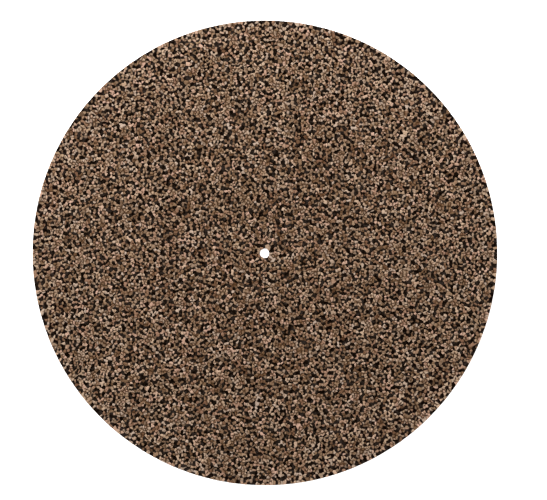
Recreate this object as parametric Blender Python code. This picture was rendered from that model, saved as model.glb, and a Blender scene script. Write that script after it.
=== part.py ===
"""Cork-and-rubber turntable mat: a flat disc of black rubber binder that holds cork granules.

Units are metres and +Z is up. The mat lies on z = 0, and the origin is the centre of the
spindle hole on the underside. The binder is one die-cut disc. The granules modelled here are
the large ones that reach both faces: each sits in a through-pocket of its own, is cut flush
with both faces, and is widest inside the sheet, so that its pocket holds it.
"""

import math
import random

import bmesh
import bpy
from mathutils import Matrix

# The mat: a standard platter mat with a hole for a 7.1 mm record spindle.
MAT_DIAMETER = 0.300
MAT_THICKNESS = 0.003
SPINDLE_HOLE_DIAMETER = 0.0072
RIM_SIDES = 180
HOLE_SIDES = 32

# The large granules. Sizes are at the widest level, from one side to the other.
GRANULE_COUNT = 48
GRANULE_LENGTH_RANGE = (0.0034, 0.0046)
GRANULE_WIDTH_SHARE_RANGE = (0.62, 0.90)
GRANULE_CORNERS = 9
CORNER_TURN_SHARE = 0.25
CORNER_INSET_RANGE = (0.84, 1.0)
FACE_SHARE_RANGE = (0.62, 0.76)
BELLY_HEIGHT_SHARE_RANGE = (0.35, 0.65)
POCKET_GAP = 0.0003

# Where the granules lie: a sunflower spiral between these radii, each moved a little.
INNER_RADIUS = 0.012
OUTER_RADIUS = 0.145
PLACE_JITTER = 0.0035
GOLDEN_ANGLE = math.pi * (3 - math.sqrt(5))
SEED = 7

CUTTER_OVERRUN = 0.001

RUBBER_COLOR = (0.012, 0.011, 0.011, 1)
RUBBER_ROUGHNESS = 0.8
CORK_COLOR = (0.30, 0.19, 0.115, 1)
CORK_ROUGHNESS = 0.9


def clear_scene():
    for old in list(bpy.data.objects):
        bpy.data.objects.remove(old, do_unlink=True)


def plain_material(name, color, roughness):
    material = bpy.data.materials.new(name)
    material.use_nodes = True
    material.diffuse_color = color
    shader = material.node_tree.nodes["Principled BSDF"]
    shader.inputs["Base Color"].default_value = color
    shader.inputs["Roughness"].default_value = roughness
    shader.inputs["Metallic"].default_value = 0
    return material


def rubber_material():
    return plain_material("rubber", RUBBER_COLOR, RUBBER_ROUGHNESS)


def cork_material():
    return plain_material("cork", CORK_COLOR, CORK_ROUGHNESS)


def object_from(bm, name, parent, material=None):
    """Links the finished bmesh to the scene as an object under its parent."""
    bmesh.ops.recalc_face_normals(bm, faces=bm.faces)
    mesh = bpy.data.meshes.new(name)
    bm.to_mesh(mesh)
    bm.free()
    made = bpy.data.objects.new(name, mesh)
    made.parent = parent
    if material:
        mesh.materials.append(material)
    bpy.context.scene.collection.objects.link(made)
    return made


def as_cutter(cutter):
    cutter.hide_render = True
    cutter.display_type = "WIRE"
    return cutter


def cut(target, cutter):
    modifier = target.modifiers.new(cutter.name, "BOOLEAN")
    modifier.operation = "DIFFERENCE"
    modifier.solver = "EXACT"
    modifier.object = cutter


def add_disc(bm, diameter, low, high, sides):
    """A closed upright cylinder between two heights."""
    bmesh.ops.create_cone(
        bm,
        cap_ends=True,
        segments=sides,
        radius1=diameter / 2,
        radius2=diameter / 2,
        depth=high - low,
        matrix=Matrix.Translation((0, 0, (low + high) / 2)),
    )


def granule_place(index, rng):
    """The middle of one granule: the spiral covers equal areas in equal steps."""
    share = (index + 0.5) / GRANULE_COUNT
    inner_area = INNER_RADIUS**2
    radius = math.sqrt(inner_area + share * (OUTER_RADIUS**2 - inner_area))
    angle = index * GOLDEN_ANGLE
    shift = rng.uniform(0, PLACE_JITTER)
    shift_angle = rng.uniform(0, 2 * math.pi)
    x = radius * math.cos(angle) + shift * math.cos(shift_angle)
    y = radius * math.sin(angle) + shift * math.sin(shift_angle)
    keep = min(1.0, OUTER_RADIUS / math.hypot(x, y))
    return x * keep, y * keep


def granule_outline(rng):
    """Corners of an uneven oval, as (x, y) round its own middle, at the widest level."""
    half_length = rng.uniform(*GRANULE_LENGTH_RANGE) / 2
    half_width = half_length * rng.uniform(*GRANULE_WIDTH_SHARE_RANGE)
    step = 2 * math.pi / GRANULE_CORNERS
    corners = []
    for corner in range(GRANULE_CORNERS):
        angle = step * (corner + rng.uniform(-CORNER_TURN_SHARE, CORNER_TURN_SHARE))
        inset = rng.uniform(*CORNER_INSET_RANGE)
        corners.append((half_length * inset * math.cos(angle), half_width * inset * math.sin(angle)))
    return corners


def granule_levels(rng):
    """(height, share of the widest outline) at the underside, the belly and the top."""
    return [
        (0, rng.uniform(*FACE_SHARE_RANGE)),
        (MAT_THICKNESS * rng.uniform(*BELLY_HEIGHT_SHARE_RANGE), 1.0),
        (MAT_THICKNESS, rng.uniform(*FACE_SHARE_RANGE)),
    ]


def past_both_faces(levels):
    """The same levels with a straight run beyond each face, for a cutter."""
    low_share = levels[0][1]
    high_share = levels[-1][1]
    return [
        (-CUTTER_OVERRUN, low_share),
        *levels,
        (MAT_THICKNESS + CUTTER_OVERRUN, high_share),
    ]


def ring_points(outline, share, grow):
    """The outline scaled by share, with each corner then moved outwards by grow."""
    points = []
    for x, y in outline:
        reach = math.hypot(x, y)
        scale = share + grow / reach
        points.append((x * scale, y * scale))
    return points


def add_lump(bm, outline, levels, grow=0.0, place=None):
    """A closed solid through the outline at each level, with flat ends."""
    rings = []
    for height, share in levels:
        ring = [bm.verts.new((x, y, height)) for x, y in ring_points(outline, share, grow)]
        rings.append(ring)
    for lower, upper in zip(rings, rings[1:]):
        for corner in range(len(outline)):
            following = (corner + 1) % len(outline)
            bm.faces.new((lower[corner], lower[following], upper[following], upper[corner]))
    bm.faces.new(list(reversed(rings[0])))
    bm.faces.new(rings[-1])
    if place is not None:
        bmesh.ops.transform(bm, matrix=place, verts=[vert for ring in rings for vert in ring])


def make_spindle_cutter(parent):
    bm = bmesh.new()
    add_disc(
        bm,
        SPINDLE_HOLE_DIAMETER,
        -CUTTER_OVERRUN,
        MAT_THICKNESS + CUTTER_OVERRUN,
        HOLE_SIDES,
    )
    return as_cutter(object_from(bm, "spindle_hole_cutter", parent))


def make_pocket_cutter(granules, parent):
    """All the pockets in one cutter: every granule's own shape, larger by the gap."""
    bm = bmesh.new()
    for outline, levels, x, y, turn in granules:
        place = Matrix.Translation((x, y, 0)) @ Matrix.Rotation(turn, 4, "Z")
        add_lump(bm, outline, past_both_faces(levels), grow=POCKET_GAP, place=place)
    return as_cutter(object_from(bm, "granule_pocket_cutter", parent))


def make_binder(granules, parent, material):
    """The die-cut disc of rubber, with the spindle hole and a pocket for each granule."""
    bm = bmesh.new()
    add_disc(bm, MAT_DIAMETER, 0, MAT_THICKNESS, RIM_SIDES)
    binder = object_from(bm, "rubber_binder", parent, material)
    cut(binder, make_spindle_cutter(parent))
    cut(binder, make_pocket_cutter(granules, parent))
    return binder


def make_granule(number, granule, parent, material):
    """One cork granule, placed by its location and its turn about the vertical."""
    outline, levels, x, y, turn = granule
    bm = bmesh.new()
    add_lump(bm, outline, levels)
    made = object_from(bm, f"cork_granule_{number:02d}", parent, material)
    made.location = (x, y, 0)
    made.rotation_euler = (0, 0, turn)
    return made


def plan_granules():
    """(outline, levels, x, y, turn) of every large granule."""
    rng = random.Random(SEED)
    granules = []
    for index in range(GRANULE_COUNT):
        x, y = granule_place(index, rng)
        outline = granule_outline(rng)
        levels = granule_levels(rng)
        turn = rng.uniform(0, 2 * math.pi)
        granules.append((outline, levels, x, y, turn))
    return granules


def main():
    clear_scene()
    origin = bpy.data.objects.new("mat_origin", None)
    bpy.context.scene.collection.objects.link(origin)
    granules = plan_granules()
    make_binder(granules, origin, rubber_material())
    cork = cork_material()
    for number, granule in enumerate(granules, start=1):
        make_granule(number, granule, origin, cork)


main()
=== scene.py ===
"""Looks of the cork-and-rubber turntable mat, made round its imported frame.

Metres, +Z up, and the mat lies on z = 0. A dark slab of rubber carries tens of thousands of
cork granules. Each face, the rim and the wall of the hole has a mosaic of its own: a Voronoi
pattern laid out in the flat, whose cells are cork or bare rubber, then carried onto its
surface. Touching cork cells may join into one longer granule. Every granule is a closed
lump with a worn edge, whose lower part is sunk in the slab.
"""

import math

import bpy
import numpy as np
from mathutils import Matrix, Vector
from mathutils.geometry import delaunay_2d_cdt


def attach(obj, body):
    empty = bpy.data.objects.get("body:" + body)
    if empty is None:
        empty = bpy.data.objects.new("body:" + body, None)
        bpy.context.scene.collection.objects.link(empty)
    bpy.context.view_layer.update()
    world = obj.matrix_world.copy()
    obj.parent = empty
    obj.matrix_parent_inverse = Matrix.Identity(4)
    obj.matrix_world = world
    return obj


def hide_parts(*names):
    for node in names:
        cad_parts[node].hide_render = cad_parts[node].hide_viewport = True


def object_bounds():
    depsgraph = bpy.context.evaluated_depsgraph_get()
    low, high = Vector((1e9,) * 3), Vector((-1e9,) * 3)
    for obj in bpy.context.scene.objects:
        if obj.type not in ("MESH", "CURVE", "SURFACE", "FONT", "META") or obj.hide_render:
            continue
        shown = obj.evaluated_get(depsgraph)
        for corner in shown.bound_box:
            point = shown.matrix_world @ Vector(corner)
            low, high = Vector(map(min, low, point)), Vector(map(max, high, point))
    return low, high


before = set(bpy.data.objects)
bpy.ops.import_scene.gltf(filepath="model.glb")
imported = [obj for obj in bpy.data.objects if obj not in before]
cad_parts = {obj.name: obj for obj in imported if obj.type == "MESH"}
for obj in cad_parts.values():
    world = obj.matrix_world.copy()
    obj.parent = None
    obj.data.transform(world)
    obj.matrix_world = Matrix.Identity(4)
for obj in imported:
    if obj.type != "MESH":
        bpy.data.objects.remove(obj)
cad_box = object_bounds()

MM = 0.001
BODY = "root"
SEED = 20
TINY = 1e-9

# The mosaic: a hexagonal lattice of cells, each moved by up to a share of the pitch. Cells
# within reach of a wall are mirrored across it, so that cell edges run along the wall. A round
# wall leaves out cells further out than so many times its radius, whose mirror images would
# pass its centre. Corners that lie closer together than the weld are one.
CELL_PITCH = 1.74 * MM
CELL_JITTER = 0.72
WALL_CLEARANCE = 0.35
GHOST_REACH = 1.7
GHOST_LIMIT = 1.95
WELD = 0.005 * MM

# Which cells are bare rubber: the lowest values of a mix of waves and noise. A cell is left
# out where its patch would pass a size limit, or where it would touch too many rubber cells,
# so that the rubber winds between the cork. Both limits are drawn for each cell.
CORK_SHARE = 0.63
PATCH_LIMITS = (1, 14)
TOUCH_LIMITS = (1, 2)
CLUSTER_WAVES = (2.4 * MM, 6.0 * MM)
DRIFT_WAVES = (5 * MM, 22 * MM)
CLUSTER_WEIGHT = 0.60
DRIFT_WEIGHT = 0.65
CHANCE_WEIGHT = 0.50
WAVE_COUNT = 240

# Touching cork cells that are one granule: mostly those in line with the local grain.
GRAIN_WAVES = (4.1 * MM, 6.1 * MM)
IN_LINE = 0.75
JOIN_SHARE_IN_LINE = 0.32
JOIN_SHARE_ACROSS = 0.04
JOIN_LIMIT = 3
JOIN_REACH = 1.6

# A granule's shape: half the film of rubber beside it, then the width of its worn edge. Both
# take at most a share of the way to its middle. Depths are measured down from the face or wall
# that the granule lies on.
FILM = 0.050 * MM
FILM_SPREAD = (0.6, 1.5)
EDGE_WIDTH = 0.19 * MM
MAX_INSET_SHARE = 0.45
MAX_TOP_INSET_SHARE = 1.5 * MAX_INSET_SHARE
LUMP_DEPTH = 0.17 * MM
GRANULE_DROP = (0.008 * MM, 0.040 * MM)
CENTRE_ROUGHNESS = 0.006 * MM
EDGE_DROP = (0.020 * MM, 0.050 * MM)
SHARP_ANGLE = math.radians(50)

# Granules stop this far short of the arris between a face and a wall.
ARRIS = 0.03 * MM

# The frame's own granules are cut flush: their vertices at a face are this close to it.
FACE_TOLERANCE = 0.01 * MM

# How pale a granule is, as the natural logarithm of its albedo over the usual one. Part of it
# follows how strongly the field favours cork there.
TONE_RANGE = (-1.8, 0.62)
GRANULE_TONE_SPREAD = 0.44
CELL_TONE_SPREAD = 0.18
FIELD_TONE = 0.48
FIELD_TONE_MIDDLE = 0.55
FIELD_TONE_OWN = 0.5
# Painted highlight: granule corners beside rubber are paler by this tone.
RUBBER_SIDE_HIGHLIGHT = 0.10

# The mat is paler towards its rim than in the middle, by twice this tone.
RIM_TONE = 0.14

# How much of a granule's colour is cork, where the rest is bark and painted shade: at the top of
# an edge beside another granule, and at the least. The mosaics' granules are painted darker from
# their middles towards edges beside other granules and down their sunk sides, partly as bark and
# partly as painted shade of their rounded tops and of the gaps between granules.
EDGE_CORK = 0.08
LEAST_CORK = 0.08

# The slab of rubber between and under the granules.
SLAB_DEPTH = 0.10 * MM
SLAB_PITCH = 2.0 * MM
SLAB_JITTER = 0.3
SLAB_ROUGHNESS = 0.015 * MM
SLAB_WALL_ROWS = 3

# The spindle hole as cut: crumbs narrow it and leave it uneven and a little off the middle.
HOLE_CENTRE = (-0.20 * MM, -0.30 * MM)
HOLE_RADIUS = 3.00 * MM
HOLE_UNEVENNESS = 0.16 * MM
HOLE_LOBES = (2, 3, 5)

# Each face is parted into this many pieces.
FACE_BANDS = 4

# Cork's usual albedo, and how fast each channel grows with the tone: pale cork is less brown.
CORK_ALBEDO = (0.196, 0.123, 0.0815)
CORK_GROWTH = (0.84, 1.00, 1.20)
TONE_STOPS = 7

# A granule's hue, from reddish over straw to greyish, as a tint on its albedo.
CORK_TINTS = (
    (0.0, (1.09, 0.98, 0.96, 1)),
    (0.5, (1.01, 1.01, 0.90, 1)),
    (1.0, (0.92, 1.00, 1.04, 1)),
)
# Dark bark brown: the colour of pores, and of the granules' darkened edges and sunk sides, which
# are partly bark and partly painted shade.
CORK_BARK_AND_SHADE = (0.042, 0.016, 0.003, 1)

# The rubber's albedo by the noise of its stains.
RUBBER_TONES = (
    (0.36, (0.0018, 0.0006, 0.0001, 1)),
    (0.50, (0.0068, 0.0038, 0.0022, 1)),
    (0.66, (0.0160, 0.0115, 0.0092, 1)),
)

# Finishes made of noise: the size of its features, the range of noise that counts, and what
# a finish is at the low and the high end of that range.
NOISE_ROUGHNESS = 0.6
NOISE_RANGE = (0.3, 0.7)
MOTTLE_SIZE = 0.45 * MM
MOTTLE_LIGHT = (0.76, 1.30)
CORK_ROUGHNESS = (0.95, 0.78)
PORE_SIZE = 0.22 * MM
PORE_RANGE = (0.32, 0.40)
PORE_BARK = (0.7, 0.0)
RUBBER_STAIN_SIZE = 1.8 * MM
RUBBER_GRAIN_SIZE = 0.15 * MM
RUBBER_ROUGHNESS = (0.75, 0.95)

# The frame's own granules take their tone, hue and bark from where they lie.
SOLID_TONE_SIZE = 9 * MM
SOLID_TONES = (0.25, 0.75)
SOLID_HUE_SIZE = 14 * MM
SOLID_BARK_SIZE = 1.1 * MM
SOLID_BARK_RANGE = (0.30, 0.55)
SOLID_CORE = (0.45, 1.0)

# The view: straight down, from above a point a little off the mat's centre.
CAMERA_LENS = 100
SENSOR_WIDTH = 36
VIEW_WIDTH = 352.7 * MM
VIEW_CENTRE = (5.54 * MM, 1.84 * MM)

FLOOR_SIZE = 4.0
FLOOR_DROP = 0.2 * MM
FLOOR_COLOR = (0.92, 0.92, 0.92, 1)
FLOOR_GLOW = 0.9

WORLD_LIGHT = 0.55

# Name, place, width and power of each lamp. All of them face the mat's middle.
AREA_LIGHTS = (
    ("key_light", (-0.15, 0.9, 0.75), 0.6, 24),
    ("side_light", (-1.1, -0.2, 0.9), 0.7, 8),
    ("fill_light", (0.9, -0.9, 0.9), 0.7, 3.5),
)


def unit_noise(rng, count):
    return rng.uniform(-1, 1, count)


def waves(rng, points, wavelengths):
    """A smooth random field of unit variance: plane waves in all directions."""
    total = np.zeros(len(points))
    for _ in range(WAVE_COUNT):
        wave_number = 2 * math.pi / rng.uniform(*wavelengths)
        heading = rng.uniform(0, 2 * math.pi)
        phase = rng.uniform(0, 2 * math.pi)
        along = points[:, 0] * math.cos(heading) + points[:, 1] * math.sin(heading)
        total += np.cos(wave_number * along + phase)
    return total / math.sqrt(WAVE_COUNT / 2)


def jittered_lattice(rng, low, high, pitch, jitter):
    """Points of a hexagonal lattice over a rectangle, each moved within a circle."""
    row_step = pitch * math.sqrt(3) / 2
    rows = np.arange(low[1], high[1] + row_step, row_step)
    columns = np.arange(low[0], high[0] + pitch, pitch)
    x, y = np.meshgrid(columns, rows)
    x = x + (np.arange(len(rows)) % 2)[:, None] * pitch / 2
    points = np.column_stack([x.ravel(), y.ravel()])
    turn = rng.uniform(0, 2 * math.pi, len(points))
    reach = jitter * pitch * np.sqrt(rng.uniform(0, 1, len(points)))
    return points + np.column_stack([reach * np.cos(turn), reach * np.sin(turn)])


def triangulate(points):
    """Delaunay triangles, each a row of three point indices in anticlockwise order."""
    spots = [Vector(point) for point in (points / MM).tolist()]
    result = delaunay_2d_cdt(spots, [], [], 0, TINY, True)
    origins = np.array([origin[0] for origin in result[3]])
    triangles = origins[np.array(result[2])]
    first, second, third = (points[triangles[:, corner]] for corner in range(3))
    clockwise = cross(second - first, third - first) < 0
    triangles[clockwise] = triangles[clockwise][:, ::-1]
    return triangles


def cross(a, b):
    return a[:, 0] * b[:, 1] - a[:, 1] * b[:, 0]


def circumcentres(points, triangles):
    first, second, third = (points[triangles[:, corner]] for corner in range(3))
    b = second - first
    c = third - first
    b_square = (b**2).sum(axis=1)
    c_square = (c**2).sum(axis=1)
    double_area = 2 * cross(b, c)
    with np.errstate(divide="ignore", invalid="ignore"):
        x = (c[:, 1] * b_square - b[:, 1] * c_square) / double_area
        y = (b[:, 0] * c_square - c[:, 0] * b_square) / double_area
    return first + np.nan_to_num(np.column_stack([x, y]), posinf=1.0, neginf=-1.0)


class RoundWall:
    """A closed edge of a region, given by its distance from a centre in each direction.

    The region lies inside an outer wall, and outside any other. Granules reach right up to a
    flush wall, and keep a film of rubber to any other.
    """

    def __init__(self, centre, reach, outer=False, flush=True):
        self.centre = np.array(centre)
        self.reach = reach
        self.outer = outer
        self.flush = flush

    def split(self, points):
        offset = points - self.centre
        distance = np.maximum(np.hypot(offset[:, 0], offset[:, 1]), TINY)
        wall = self.reach(np.arctan2(offset[:, 1], offset[:, 0]))
        return offset / distance[:, None], distance, wall

    def clear(self, points, clearance):
        """True for the points on the region's side, further from the wall than the clearance."""
        _, distance, wall = self.split(points)
        depth = wall - distance if self.outer else distance - wall
        return depth > clearance

    def mirror(self, points, band):
        """The points near the wall mirrored across it, and the wall's normal at each."""
        outward, distance, wall = self.split(points)
        near = (np.abs(distance - wall) < band) & (distance < GHOST_LIMIT * wall)
        ghosts = points[near] + 2 * (wall - distance)[near, None] * outward[near]
        return ghosts, outward[near] * self.flush


class StraightWall:
    """A straight edge of a region along one axis: 0 for u and 1 for v."""

    def __init__(self, axis, place, side, flush=True):
        self.axis = axis
        self.place = place
        self.side = side
        self.flush = flush

    def clear(self, points, clearance):
        return (points[:, self.axis] - self.place) * self.side > clearance

    def mirror(self, points, band):
        near = np.abs(points[:, self.axis] - self.place) < band
        ghosts = points[near].copy()
        ghosts[:, self.axis] = 2 * self.place - ghosts[:, self.axis]
        normals = np.zeros_like(ghosts)
        normals[:, self.axis] = -self.side * self.flush
        return ghosts, normals


class Groups:
    """Cells parted into groups, each known by its leading cell, which also holds its size."""

    def __init__(self, count):
        self.leader = list(range(count))
        self.size = [1] * count

    def lead(self, cell):
        while self.leader[cell] != cell:
            cell = self.leader[cell]
        return cell

    def join(self, one, other):
        one = self.lead(one)
        other = self.lead(other)
        self.leader[other] = one
        self.size[one] += self.size[other]


class Mosaic:
    """Voronoi cells that fill a flat region, each cork or rubber, with cork cells joined.

    The fillers are points inside the region's inner walls. They keep the mosaic's triangles
    from reaching across.
    """

    def __init__(self, rng, low, high, walls, fillers=()):
        points = jittered_lattice(rng, low, high, CELL_PITCH, CELL_JITTER)
        for wall in walls:
            points = points[wall.clear(points, WALL_CLEARANCE * CELL_PITCH)]
        self.count = len(points)
        ghosts = [np.array(fillers).reshape(-1, 2)]
        normals = [np.zeros_like(ghosts[0])]
        for wall in walls:
            wall_ghosts, wall_normals = wall.mirror(points, GHOST_REACH * CELL_PITCH)
            ghosts.append(wall_ghosts)
            normals.append(wall_normals)
        self.points = np.vstack([points, *ghosts])
        self.normals = np.vstack([np.zeros_like(points), *normals])
        self.find_edges()
        self.choose_cork(rng)
        self.join_cells(rng)

    def find_edges(self):
        """Edges between touching cells, listed from both sides, anticlockwise round each."""
        triangles = triangulate(self.points)
        centres = circumcentres(self.points, triangles)
        grid = np.round(centres / WELD).astype(np.int64)
        _, chosen, welded = np.unique(grid, axis=0, return_index=True, return_inverse=True)
        self.spots = centres[chosen]
        welded = welded.ravel()
        start = triangles.ravel()
        end = np.roll(triangles, -1, axis=1).ravel()
        left = np.repeat(welded, 3)
        total = len(self.points)
        key = start * total + end
        order = np.argsort(key)
        wanted = end * total + start
        place = np.minimum(np.searchsorted(key[order], wanted), len(key) - 1)
        twin = order[place]
        real = (key[twin] == wanted) & (left[twin] != left)
        self.cell = start[real]
        self.neighbour = end[real]
        self.edge_start = left[twin[real]]
        self.edge_end = left[real]

    def choose_cork(self, rng):
        field = CLUSTER_WEIGHT * waves(rng, self.points, CLUSTER_WAVES)
        field += DRIFT_WEIGHT * waves(rng, self.points, DRIFT_WAVES)
        field += CHANCE_WEIGHT * rng.standard_normal(len(field))
        level = np.quantile(field[: self.count], 1 - CORK_SHARE)
        self.strength = (field - level) / field.std()
        self.cork = np.arange(len(field)) < self.count
        self.cork[self.pick_rubber(field[: self.count], rng)] = False

    def pick_rubber(self, field, rng):
        """The cells of bare rubber: the field's lowest that keep the patches small and thin."""
        wanted = round((1 - CORK_SHARE) * self.count)
        order = np.argsort(self.cell, kind="stable")
        neighbours = self.neighbour[order].tolist()
        first = np.searchsorted(self.cell[order], np.arange(self.count + 1)).tolist()
        patch_limits = rng.integers(*PATCH_LIMITS, self.count, endpoint=True).tolist()
        touch_limits = rng.integers(*TOUCH_LIMITS, self.count, endpoint=True).tolist()
        patches = Groups(len(self.points))
        chosen = set()
        for cell in np.argsort(field).tolist():
            beside = [n for n in neighbours[first[cell] : first[cell + 1]] if n in chosen]
            touched = {patches.lead(other) for other in beside}
            size = 1 + sum(patches.size[patch] for patch in touched)
            if size > patch_limits[cell] or len(beside) > touch_limits[cell]:
                continue
            chosen.add(cell)
            for patch in touched:
                patches.join(cell, patch)
            if len(chosen) == wanted:
                break
        return list(chosen)

    def join_cells(self, rng):
        """Numbers the granules: each cork cell gets its granule's number, all others -1."""
        pairs = (self.cell < self.neighbour) & self.cork[self.cell] & self.cork[self.neighbour]
        a = self.points[self.cell[pairs]]
        b = self.points[self.neighbour[pairs]]
        middles = (a + b) / 2
        grain = np.arctan2(waves(rng, middles, GRAIN_WAVES), waves(rng, middles, GRAIN_WAVES)) / 2
        heading = np.arctan2(b[:, 1] - a[:, 1], b[:, 0] - a[:, 0])
        in_line = np.abs(np.cos(heading - grain)) > IN_LINE
        chance = np.where(in_line, JOIN_SHARE_IN_LINE, JOIN_SHARE_ACROSS)
        near = np.hypot(*(b - a).T) < JOIN_REACH * CELL_PITCH
        chosen = np.flatnonzero(near & (rng.uniform(0, 1, len(a)) < chance))
        rng.shuffle(chosen)
        ones = self.cell[pairs][chosen].tolist()
        others = self.neighbour[pairs][chosen].tolist()
        groups = Groups(len(self.points))
        for one, other in zip(ones, others):
            one, other = groups.lead(one), groups.lead(other)
            if one != other and groups.size[one] + groups.size[other] <= JOIN_LIMIT:
                groups.join(one, other)
        leaders = np.array([groups.lead(cell) for cell in range(len(self.points))])
        self.granule = np.full(len(self.points), -1)
        _, numbers = np.unique(leaders[self.cork], return_inverse=True)
        self.granule[self.cork] = numbers
        self.granule_count = int(numbers.max()) + 1

    def spot_sums(self, weights=None):
        """The sum over the cells that meet at each spot, or their count."""
        return np.bincount(self.edge_start, weights=weights, minlength=len(self.spots))


class Corners:
    """The granules' corners: one for each granule at each spot where its cells have one.

    start and end are the corners at both ends of each edge of each cork cell. An edge is open
    where the granule ends there. A corner is inner where only its granule's cells meet.
    """

    def __init__(self, mosaic):
        used = mosaic.cork[mosaic.cell]
        self.cell = mosaic.cell[used]
        granule = mosaic.granule[self.cell]
        self.is_open = mosaic.granule[mosaic.neighbour[used]] != granule
        starts = mosaic.edge_start[used] * mosaic.granule_count + granule
        ends = mosaic.edge_end[used] * mosaic.granule_count + granule
        keys, self.start = np.unique(starts, return_inverse=True)
        self.end = np.searchsorted(keys, ends)
        self.count = len(keys)
        self.spot = keys // mosaic.granule_count
        self.granule = keys % mosaic.granule_count
        self.place = mosaic.spots[self.spot]
        self.inner = np.bincount(self.start) == mosaic.spot_sums()[self.spot]
        self.by_rubber = mosaic.spot_sums(~mosaic.cork[mosaic.cell])[self.spot] > 0
        self.find_inward(mosaic)

    def find_inward(self, mosaic):
        """The way into the granule from each corner, along any wall there, and the room."""
        middle = [np.bincount(self.start, weights=part) for part in mosaic.points[self.cell].T]
        inward = np.column_stack(middle) / np.bincount(self.start)[:, None] - self.place
        self.room = np.hypot(*inward.T)
        inward /= np.maximum(self.room, TINY)[:, None]
        facing = mosaic.normals[mosaic.cell].T
        wall = np.column_stack([mosaic.spot_sums(part) for part in facing])[self.spot]
        wall /= np.maximum(np.hypot(*wall.T), TINY)[:, None]
        inward -= (inward * wall).sum(axis=1)[:, None] * wall
        inward[self.inner] = 0
        self.inward = inward


def granule_lumps(mosaic, trend, rng):
    """Closed lumps for a mosaic's granules, as flat places, depths, shades and triangles.

    The vertices are the cells' middles at the top and at the bottom, then the corners at the
    top and at the bottom.
    """
    corners = Corners(mosaic)
    cells = np.flatnonzero(mosaic.cork)
    owner = mosaic.granule[cells]

    film = FILM * rng.uniform(*FILM_SPREAD, corners.count)
    top_inset = np.minimum(film + EDGE_WIDTH, MAX_TOP_INSET_SHARE * corners.room)
    low_inset = np.minimum(film, MAX_INSET_SHARE * corners.room)
    top_corners = corners.place + corners.inward * top_inset[:, None]
    low_corners = corners.place + corners.inward * low_inset[:, None]
    middles = mosaic.points[cells]
    places = np.vstack([middles, middles, top_corners, low_corners])

    drop = rng.uniform(*GRANULE_DROP, mosaic.granule_count)
    cell_depth = drop[owner] + CENTRE_ROUGHNESS * unit_noise(rng, len(cells))
    edge_drop = rng.uniform(*EDGE_DROP, corners.count)
    edge_drop[corners.inner] = 0
    depths = np.concatenate([
        cell_depth,
        np.full(len(cells), LUMP_DEPTH),
        drop[corners.granule] + edge_drop,
        np.full(corners.count, LUMP_DEPTH),
    ])
    owners = np.concatenate([owner, owner, corners.granule, corners.granule])
    shades = granule_shades(mosaic, corners, cells, owners, trend(places), rng)
    return places, depths, shades, lump_triangles(mosaic, corners, cells), owners


def lump_triangles(mosaic, corners, cells):
    """Each cell's top and bottom as fans, and a wall along each edge between two granules."""
    number = np.zeros(len(mosaic.points), dtype=np.int64)
    number[cells] = np.arange(len(cells))
    over = number[corners.cell]
    under = over + len(cells)
    top_a = corners.start + 2 * len(cells)
    top_b = corners.end + 2 * len(cells)
    low_a = top_a + corners.count
    low_b = top_b + corners.count
    return np.vstack([
        np.column_stack([over, top_a, top_b]),
        np.column_stack([under, low_b, low_a]),
        np.column_stack([top_a, low_a, low_b])[corners.is_open],
        np.column_stack([top_a, low_b, top_b])[corners.is_open],
    ])


def granule_shades(mosaic, corners, cells, owners, trend, rng):
    """Each vertex's tone, hue and share of cork colour, in red, green and blue."""
    tone = granule_tones(mosaic, cells, rng)
    cell_tone = tone[mosaic.granule[cells]] + CELL_TONE_SPREAD * rng.standard_normal(len(cells))
    cell_tone += FIELD_TONE * FIELD_TONE_OWN * mosaic.strength[cells]
    # Corners beside rubber get a painted highlight: a paler tone along that edge.
    corner_tone = tone[corners.granule] + RUBBER_SIDE_HIGHLIGHT * corners.by_rubber
    tone = np.concatenate([np.tile(cell_tone, 2), np.tile(corner_tone, 2)]) + trend
    darkest, palest = TONE_RANGE
    tone = np.clip((tone - darkest) / (palest - darkest), 0, 1)
    hue = rng.uniform(0, 1, mosaic.granule_count)[owners]
    # The share of cork colour: full at the middles and beside rubber, low at the tops of edges
    # beside another granule and none at the bottoms. This paints bark and shade between granules
    # and down their sides.
    core = np.concatenate([
        np.ones(len(cells)),
        np.zeros(len(cells)),
        np.where(corners.by_rubber | corners.inner, 1, EDGE_CORK),
        np.zeros(corners.count),
    ])
    return np.column_stack([tone, hue, core, np.ones(len(core))])


def granule_tones(mosaic, cells, rng):
    """Each granule's tone: partly chance, partly how strongly its cells are cork."""
    owner = mosaic.granule[cells]
    strength = np.bincount(owner, weights=mosaic.strength[cells]) / np.bincount(owner)
    tone = GRANULE_TONE_SPREAD * rng.standard_normal(mosaic.granule_count)
    return tone + FIELD_TONE * ((1 - FIELD_TONE_OWN) * strength - FIELD_TONE_MIDDLE)


def mesh_object(name, vertices, triangles, shades=None):
    """A smooth-shaded object of triangles that holds only the vertices it uses."""
    used, numbers = np.unique(triangles, return_inverse=True)
    mesh = bpy.data.meshes.new(name)
    mesh.vertices.add(len(used))
    mesh.vertices.foreach_set("co", vertices[used].astype(np.float32).ravel())
    mesh.loops.add(numbers.size)
    mesh.loops.foreach_set("vertex_index", numbers.ravel().astype(np.int32))
    mesh.polygons.add(len(triangles))
    mesh.polygons.foreach_set("loop_start", np.arange(0, numbers.size, 3, dtype=np.int32))
    if shades is not None:
        attribute = mesh.attributes.new("shade", "FLOAT_COLOR", "POINT")
        attribute.data.foreach_set("color", shades[used].astype(np.float32).ravel())
    mesh.update(calc_edges=True)
    mesh.shade_smooth()
    mesh.set_sharp_from_angle(angle=SHARP_ANGLE)
    made = bpy.data.objects.new(name, mesh)
    bpy.context.scene.collection.objects.link(made)
    return made


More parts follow.
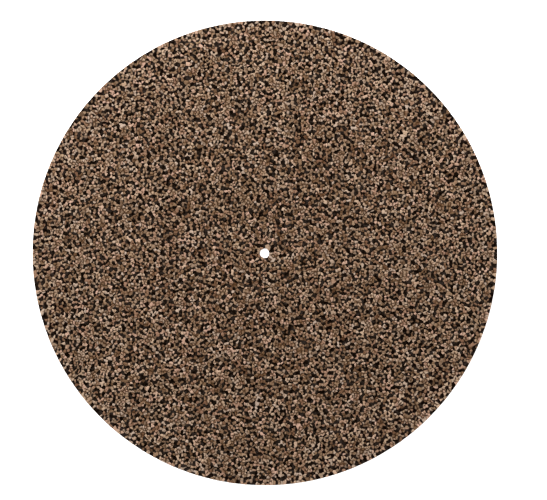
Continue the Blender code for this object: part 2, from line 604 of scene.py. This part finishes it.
def add_granules(name, mosaic, carry, trend, flip, material, rng, bands=1):
    """The mosaic's granules on their surface, as one piece or as bands of equal count."""
    places, depths, shades, triangles, owners = granule_lumps(mosaic, trend, rng)
    vertices = carry(places, depths)
    if flip:
        triangles = triangles[:, ::-1]
    heights = np.bincount(owners, weights=places[:, 1]) / np.bincount(owners)
    rank = heights.argsort().argsort()
    band = (rank * bands // len(rank))[owners[triangles[:, 0]]]
    for number in range(bands):
        label = f"{name}_{number + 1}" if bands > 1 else name
        made = mesh_object(label, vertices, triangles[band == number], shades)
        made.data.materials.append(material)
        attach(made, BODY)


def hole_reach(rng):
    """The uneven hole's radius in each direction."""
    lobes = []
    for order in HOLE_LOBES:
        lobes.append((order, rng.uniform(0, 2 * math.pi), HOLE_UNEVENNESS / len(HOLE_LOBES)))

    def reach(angle):
        radius = np.full_like(angle, HOLE_RADIUS)
        for order, phase, height in lobes:
            radius = radius + height * np.cos(order * angle + phase)
        return radius

    return reach


def outline_wall(name, height):
    """The edge of one solid granule of the frame at a face, as a wall that keeps a film."""
    mesh = bpy.data.objects[name].data
    coordinates = np.empty(3 * len(mesh.vertices))
    mesh.vertices.foreach_get("co", coordinates)
    coordinates = coordinates.reshape(-1, 3)
    ring = coordinates[np.abs(coordinates[:, 2] - height) < FACE_TOLERANCE][:, :2]
    centre = ring.mean(axis=0)
    offset = ring - centre
    angles = np.arctan2(offset[:, 1], offset[:, 0])
    order = angles.argsort()
    angles = angles[order]
    radii = np.hypot(*offset.T)[order]

    def reach(angle):
        return np.interp(angle, angles, radii, period=2 * math.pi)

    return RoundWall(centre, reach, flush=False)


def slab_plan(radius, reach, rng):
    """The slab in the flat: its points, its triangles and the counts at the rim and the hole."""
    low = (-radius, -radius)
    high = (radius, radius)
    rim = RoundWall((0, 0), lambda angle: np.full_like(angle, radius), outer=True)
    hole = RoundWall(HOLE_CENTRE, lambda angle: reach(angle) + SLAB_DEPTH)
    field = jittered_lattice(rng, low, high, SLAB_PITCH, SLAB_JITTER)
    for wall in (rim, hole):
        field = field[wall.clear(field, SLAB_PITCH / 2)]
    rim_points = wall_points(rim, radius)
    hole_points = wall_points(hole, HOLE_RADIUS)
    points = np.vstack([rim_points, hole_points, field])
    triangles = triangulate(points)
    triangles = triangles[hole.clear(points[triangles].mean(axis=1), 0)]
    return points, triangles, len(rim_points), len(hole_points)


def make_slab(radius, thickness, reach, material, rng):
    """The rubber: a disc with a hole, uneven on both faces and round its edges."""
    points, triangles, rim_count, hole_count = slab_plan(radius - SLAB_DEPTH, reach, rng)
    count = len(points)
    edge_count = rim_count + hole_count
    bump = SLAB_ROUGHNESS * unit_noise(rng, count)
    top = np.column_stack([points, thickness - SLAB_DEPTH + bump])
    bump = SLAB_ROUGHNESS * unit_noise(rng, count)
    bottom = np.column_stack([points, SLAB_DEPTH + bump])
    rows = [np.arange(edge_count)]
    vertices = [top, bottom]
    for row in range(1, SLAB_WALL_ROWS):
        share = row / SLAB_WALL_ROWS
        between = top[:edge_count] * (1 - share) + bottom[:edge_count] * share
        between[:, :2] *= 1 + SLAB_ROUGHNESS / radius * unit_noise(rng, edge_count)[:, None]
        rows.append(np.arange(edge_count) + 2 * count + (row - 1) * edge_count)
        vertices.append(between)
    rows.append(np.arange(edge_count) + count)
    faces = [triangles, triangles[:, ::-1] + count]
    for upper, lower in zip(rows, rows[1:]):
        faces.append(skirt(upper[:rim_count], lower[:rim_count]))
        faces.append(skirt(upper[rim_count:], lower[rim_count:])[:, ::-1])
    slab = mesh_object("rubber_binder_surface", np.vstack(vertices), np.vstack(faces))
    slab.data.materials.append(material)
    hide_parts("rubber_binder")
    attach(slab, BODY)


def wall_points(wall, radius):
    """Points along a round wall, half a slab pitch apart where its radius is the one given."""
    sides = round(2 * math.pi * radius / (SLAB_PITCH / 2))
    angle = np.arange(sides) * 2 * math.pi / sides
    distance = wall.reach(angle)
    return wall.centre + np.column_stack([distance * np.cos(angle), distance * np.sin(angle)])


def skirt(upper, lower):
    """Triangles between two closed rows of vertices, facing out from an anticlockwise row."""
    upper_next = np.roll(upper, -1)
    lower_next = np.roll(lower, -1)
    one = np.column_stack([upper, lower, lower_next])
    other = np.column_stack([upper, lower_next, upper_next])
    return np.vstack([one, other])


class Nodes:
    """Short calls for building one material's node tree."""

    def __init__(self, name):
        self.material = bpy.data.materials.new(name)
        self.material.use_nodes = True
        self.tree = self.material.node_tree
        self.shader = self.tree.nodes["Principled BSDF"]

    def add(self, kind, settings=None, inputs=None):
        node = self.tree.nodes.new("ShaderNode" + kind)
        for name, value in (settings or {}).items():
            setattr(node, name, value)
        for socket, value in (inputs or {}).items():
            self.feed(node.inputs[socket], value)
        return node

    def feed(self, socket, value):
        if isinstance(value, bpy.types.NodeSocket):
            self.tree.links.new(value, socket)
        else:
            socket.default_value = value

    def noise(self, size, detail):
        """Noise whose features are about this size in metres."""
        place = self.add("TexCoord").outputs["Object"]
        node = self.add("TexNoise", inputs={
            "Vector": place,
            "Scale": 1 / size,
            "Detail": detail,
            "Roughness": NOISE_ROUGHNESS,
        })
        return node.outputs["Fac"]

    def ramp(self, value, stops):
        node = self.add("ValToRGB", inputs={"Fac": value})
        elements = node.color_ramp.elements
        while len(elements) < len(stops):
            elements.new(0.5)
        for element, (position, color) in zip(elements, stops):
            element.position = position
            element.color = color
        return node.outputs["Color"]

    def mix(self, share, first, second, blend="MIX"):
        """A mix of colours, whose sockets go by number: their names stand for other kinds too."""
        node = self.add("Mix", settings={"data_type": "RGBA", "blend_type": blend})
        self.feed(node.inputs[0], share)
        self.feed(node.inputs[6], first)
        self.feed(node.inputs[7], second)
        return node.outputs[2]

    def span(self, value, source, target):
        """The value carried from one range of numbers to another, and kept within it."""
        node = self.add("MapRange", inputs={
            "Value": value,
            "From Min": source[0],
            "From Max": source[1],
            "To Min": target[0],
            "To Max": target[1],
        })
        return node.outputs["Result"]

    def grey(self, value):
        node = self.add("CombineColor", inputs={"Red": value, "Green": value, "Blue": value})
        return node.outputs["Color"]

    def surface(self, color, roughness, height, bump_distance, bump_strength, specular):
        bump = self.add("Bump", inputs={
            "Height": height, "Distance": bump_distance, "Strength": bump_strength,
        })
        self.feed(self.shader.inputs["Base Color"], color)
        self.feed(self.shader.inputs["Roughness"], roughness)
        self.feed(self.shader.inputs["Normal"], bump.outputs["Normal"])
        self.shader.inputs["Specular IOR Level"].default_value = specular
        return self.material


def cork_tones():
    """Stops of a colour ramp from the darkest granules to the palest."""
    darkest, palest = TONE_RANGE
    stops = []
    for number in range(TONE_STOPS):
        share = number / (TONE_STOPS - 1)
        tone = darkest + share * (palest - darkest)
        parts = zip(CORK_ALBEDO, CORK_GROWTH)
        color = [albedo * math.exp(growth * tone) for albedo, growth in parts]
        stops.append((share, (*color, 1)))
    return stops


def finish_cork(nodes, tone, hue, core):
    """Shared cork look: a tone and hue for each granule, darker where its cork share is low, with
    pores. On the mosaics' granules that is towards their edges and sides, partly bark and partly
    painted shade.
    """
    mottle = nodes.noise(MOTTLE_SIZE, 3)
    pores = nodes.noise(PORE_SIZE, 2)
    base = nodes.ramp(tone, cork_tones())
    base = nodes.mix(1.0, base, nodes.ramp(hue, CORK_TINTS), "MULTIPLY")
    light = nodes.span(mottle, NOISE_RANGE, MOTTLE_LIGHT)
    base = nodes.mix(1.0, base, nodes.grey(light), "MULTIPLY")
    base = nodes.mix(nodes.span(pores, PORE_RANGE, PORE_BARK), base, CORK_BARK_AND_SHADE)
    # Where the cork share is low, the bark-and-shade brown takes over: painted shade and bark at
    # the mosaics' granule edges, bark patches on the frame's own granules.
    color = nodes.mix(core, CORK_BARK_AND_SHADE, base)
    rough = nodes.span(mottle, NOISE_RANGE, CORK_ROUGHNESS)
    return nodes.surface(
        color, rough, pores, bump_distance=0.08 * MM, bump_strength=0.5, specular=0.08
    )


def granule_material():
    """For the mosaics' granules, whose vertices carry their tone, hue and cork share; a low share
    stands for bark and painted shade at their edges and sunk sides.
    """
    nodes = Nodes("cork_granules")
    shade = nodes.add("Attribute", settings={"attribute_name": "shade"})
    parts = nodes.add("SeparateColor", inputs={"Color": shade.outputs["Color"]})
    tone, hue, core = (parts.outputs[name] for name in ("Red", "Green", "Blue"))
    core = nodes.span(core, (0.0, 1.0), (LEAST_CORK, 1.0))
    return finish_cork(nodes, tone, hue, core)


def solid_granule_material():
    """For the frame's own granules, which differ by where they lie."""
    nodes = Nodes("cork_solid_granules")
    tone = nodes.span(nodes.noise(SOLID_TONE_SIZE, 0), NOISE_RANGE, SOLID_TONES)
    hue = nodes.span(nodes.noise(SOLID_HUE_SIZE, 0), NOISE_RANGE, (0.0, 1.0))
    core = nodes.span(nodes.noise(SOLID_BARK_SIZE, 2), SOLID_BARK_RANGE, SOLID_CORE)
    return finish_cork(nodes, tone, hue, core)


def rubber_material():
    """Near-black rubber with brownish stains and a fine grain."""
    nodes = Nodes("rubber_binder")
    stain = nodes.noise(RUBBER_STAIN_SIZE, 1)
    grain = nodes.noise(RUBBER_GRAIN_SIZE, 3)
    color = nodes.ramp(stain, RUBBER_TONES)
    rough = nodes.span(grain, NOISE_RANGE, RUBBER_ROUGHNESS)
    return nodes.surface(
        color, rough, grain, bump_distance=0.06 * MM, bump_strength=0.6, specular=0.01
    )


def make_mat():
    """The rubber slab, and the granules on the top, the underside, the rim and the hole."""
    rng = np.random.default_rng(SEED)
    low, high = cad_box
    radius = (high.x - low.x) / 2
    thickness = high.z - low.z
    rubber = rubber_material()
    cork = granule_material()
    reach = hole_reach(rng)
    make_slab(radius, thickness, reach, rubber, rng)
    finish_solid_granules()
    hole = RoundWall(HOLE_CENTRE, reach)
    add_face_granules("cork_top", hole, radius, thickness, False, cork, rng)
    add_face_granules("cork_underside", hole, radius, 0.0, True, cork, rng)
    rim = RoundWall((0, 0), lambda angle: np.full_like(angle, radius), outer=True)
    add_wall_granules("cork_rim", rim, radius, thickness, RIM_TONE, cork, rng)
    add_wall_granules("cork_hole_edge", hole, HOLE_RADIUS, thickness, -RIM_TONE, cork, rng)


def solid_granule_names():
    return sorted(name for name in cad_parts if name.startswith("cork_granule"))


def finish_solid_granules():
    material = solid_granule_material()
    for name in solid_granule_names():
        bpy.data.objects[name].material_slots[0].material = material


def add_face_granules(name, hole, radius, height, is_underside, material, rng):
    """Granules on a flat face, which keep clear of the frame's own granules."""
    outlines = [outline_wall(granule, height) for granule in solid_granule_names()]
    middles = [wall.centre for wall in outlines]
    face_radius = radius - ARRIS
    edge = RoundWall((0, 0), lambda angle: np.full_like(angle, face_radius), outer=True)
    mosaic = Mosaic(rng, (-radius, -radius), (radius, radius), [edge, hole, *outlines], middles)
    way = 1 if is_underside else -1

    def carry(places, depths):
        return np.column_stack([places, height + way * depths])

    def trend(places):
        share = np.hypot(places[:, 0], places[:, 1]) / radius
        return RIM_TONE * (2 * share**2 - 1)

    add_granules(name, mosaic, carry, trend, is_underside, material, rng, FACE_BANDS)


def add_wall_granules(name, wall, radius, thickness, tone, material, rng):
    """Granules on an upright round wall, laid out as a strip of its length and height."""
    length = 2 * math.pi * radius
    inwards = -1 if wall.outer else 1
    walls = [
        StraightWall(0, 0.0, 1, flush=False),
        StraightWall(0, length, -1, flush=False),
        StraightWall(1, ARRIS, 1),
        StraightWall(1, thickness - ARRIS, -1),
    ]
    mosaic = Mosaic(rng, (0.0, 0.0), (length, thickness), walls)

    def carry(places, depths):
        angle = places[:, 0] / radius
        distance = wall.reach(angle) + inwards * depths
        x = wall.centre[0] + distance * np.cos(angle)
        y = wall.centre[1] + distance * np.sin(angle)
        return np.column_stack([x, y, places[:, 1]])

    add_granules(name, mosaic, carry, lambda places: tone, not wall.outer, material, rng)


def make_camera(thickness):
    data = bpy.data.cameras.new("camera")
    data.lens = CAMERA_LENS
    data.sensor_width = SENSOR_WIDTH
    camera = bpy.data.objects.new("camera", data)
    bpy.context.scene.collection.objects.link(camera)
    height = thickness + VIEW_WIDTH * CAMERA_LENS / SENSOR_WIDTH
    camera.location = (*VIEW_CENTRE, height)
    bpy.context.scene.camera = camera


def make_floor():
    mesh = bpy.data.meshes.new("floor")
    half = FLOOR_SIZE / 2
    outline = [(-half, -half), (half, -half), (half, half), (-half, half)]
    mesh.from_pydata([(x, y, -FLOOR_DROP) for x, y in outline], [], [(0, 1, 2, 3)])
    floor = bpy.data.objects.new("floor", mesh)
    bpy.context.scene.collection.objects.link(floor)
    nodes = Nodes("floor")
    nodes.shader.inputs["Base Color"].default_value = FLOOR_COLOR
    nodes.shader.inputs["Roughness"].default_value = 1.0
    nodes.shader.inputs["Specular IOR Level"].default_value = 0.0
    nodes.shader.inputs["Emission Color"].default_value = (1, 1, 1, 1)
    nodes.shader.inputs["Emission Strength"].default_value = FLOOR_GLOW
    mesh.materials.append(nodes.material)


def make_area_light(name, place, size, power):
    data = bpy.data.lights.new(name, "AREA")
    data.shape = "SQUARE"
    data.size = size
    data.energy = power
    light = bpy.data.objects.new(name, data)
    light.location = place
    light.rotation_mode = "QUATERNION"
    light.rotation_quaternion = (-Vector(place)).to_track_quat("-Z", "Y")
    bpy.context.scene.collection.objects.link(light)


def make_lights():
    world = bpy.data.worlds.new("studio")
    world.use_nodes = True
    background = world.node_tree.nodes["Background"]
    background.inputs["Color"].default_value = (1, 1, 1, 1)
    background.inputs["Strength"].default_value = WORLD_LIGHT
    bpy.context.scene.world = world
    for name, place, size, power in AREA_LIGHTS:
        make_area_light(name, place, size, power)


make_mat()
make_camera(cad_box[1].z)
make_floor()
make_lights()
bpy.context.scene.view_settings.view_transform = "Standard"
